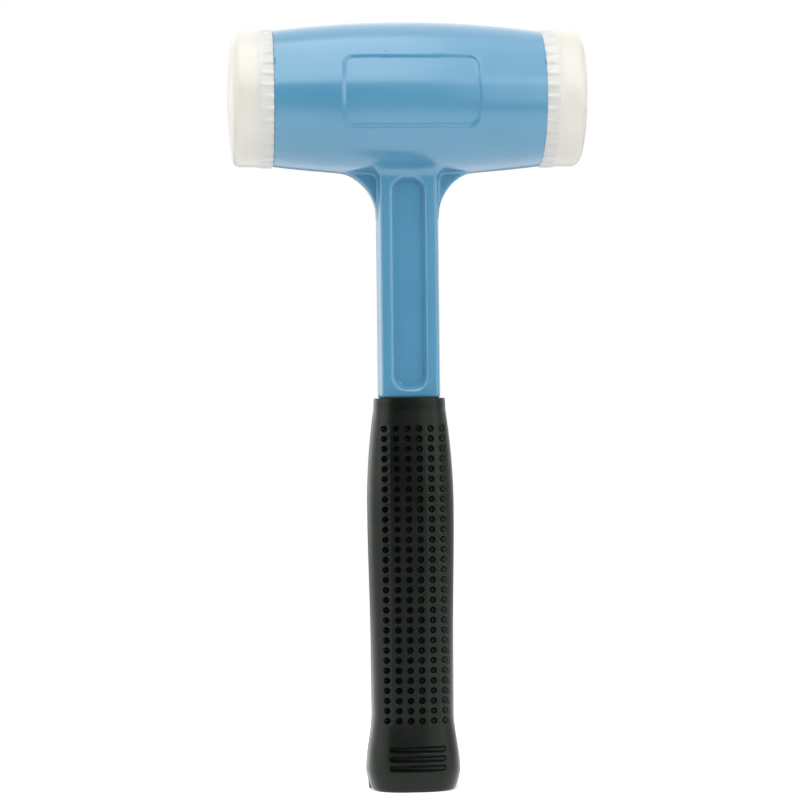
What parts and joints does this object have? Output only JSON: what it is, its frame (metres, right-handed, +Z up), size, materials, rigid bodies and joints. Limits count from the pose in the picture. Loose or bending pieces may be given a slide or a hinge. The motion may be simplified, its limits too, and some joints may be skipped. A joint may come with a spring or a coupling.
{
  "type": "soft face hammer",
  "caption": "Soft face hammer: a painted barrel head and recessed shaft cast in one, screw-on white nylon faces with fluted rims, and a dimpled black rubber grip.",
  "frame": {"origin": "centre of the flat butt of the grip, on the surface that it stands on", "axes": "+Z runs up the handle to the head, +X along the head to the right as seen from the front, and -Y out of the front"},
  "size_m": [0.1304, 0.0538, 0.2792],
  "materials": {
    "blue_enamel": "glossy light blue enamel on a cast light alloy",
    "black_rubber": "moulded black rubber with a faint sheen",
    "white_nylon": "natural white nylon, slightly translucent",
    "insert_brass": "turned brass",
    "stud_steel": "zinc plated steel"
  },
  "bodies": {
    "hammer": {"body_casting": "blue_enamel", "grip": "black_rubber", "left_stud": "stud_steel", "right_stud": "stud_steel"},
    "left_thread": {"left_insert": "insert_brass"},
    "left_tip": {"left_face": "white_nylon"},
    "right_thread": {"right_insert": "insert_brass"},
    "right_tip": {"right_face": "white_nylon"}
  },
  "joints": [
    {"name": "left_face_draw", "type": "slide", "parent": "hammer", "child": "left_thread", "axis": [-1, 0, 0], "range_m": [0, 0.0123]},
    {"name": "left_face_turn", "type": "hinge", "parent": "left_thread", "child": "left_tip", "pos_m": [-0.0488, 0, 0.2515], "axis": [-1, 0, 0], "range_deg": [0, 2520]},
    {"name": "right_face_draw", "type": "slide", "parent": "hammer", "child": "right_thread", "axis": [1, 0, 0], "range_m": [0, 0.0123]},
    {"name": "right_face_turn", "type": "hinge", "parent": "right_thread", "child": "right_tip", "pos_m": [0.0488, 0, 0.2515], "axis": [1, 0, 0], "range_deg": [0, 2520]}
  ],
  "couplings": [
    {"joint": "left_face_draw", "follows": "left_face_turn", "m_per_rad": 0.00027852},
    {"joint": "right_face_draw", "follows": "right_face_turn", "m_per_rad": 0.00027852}
  ]
}
